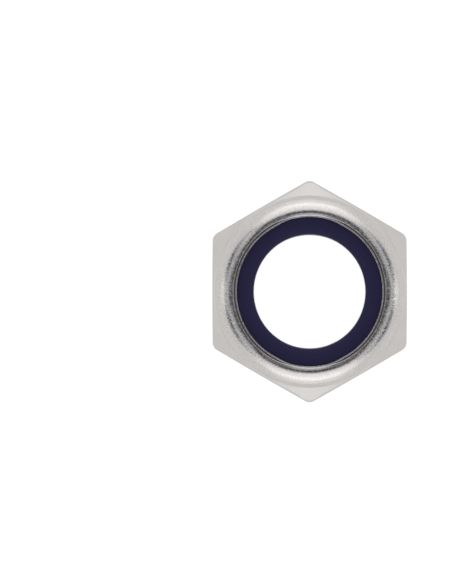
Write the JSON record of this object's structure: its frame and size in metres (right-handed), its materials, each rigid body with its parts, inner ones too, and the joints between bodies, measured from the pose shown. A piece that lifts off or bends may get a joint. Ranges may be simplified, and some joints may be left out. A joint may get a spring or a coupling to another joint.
{
  "type": "nylon insert lock nut",
  "caption": "Hexagon lock nut, chamfered at both ends, with a round collar whose rolled rim traps a nylon ring that grips the bolt's thread.",
  "frame": {"origin": "centre of the bearing face, on the thread's axis", "axes": "+Z along the thread axis from the bearing face towards the collar; +X out of the middle of one flat; +Y through a corner of the hexagon"},
  "size_m": [0.024, 0.0276, 0.016],
  "materials": {
    "stainless_steel": "cold-forged austenitic stainless steel, tumbled and pickled to an even satin, turned thread and chamfers",
    "nylon": "dark navy moulded polyamide, semi-matte"
  },
  "bodies": {
    "root": {"nut_body": "stainless_steel", "nylon_insert": "nylon"}
  },
  "joints": []
}
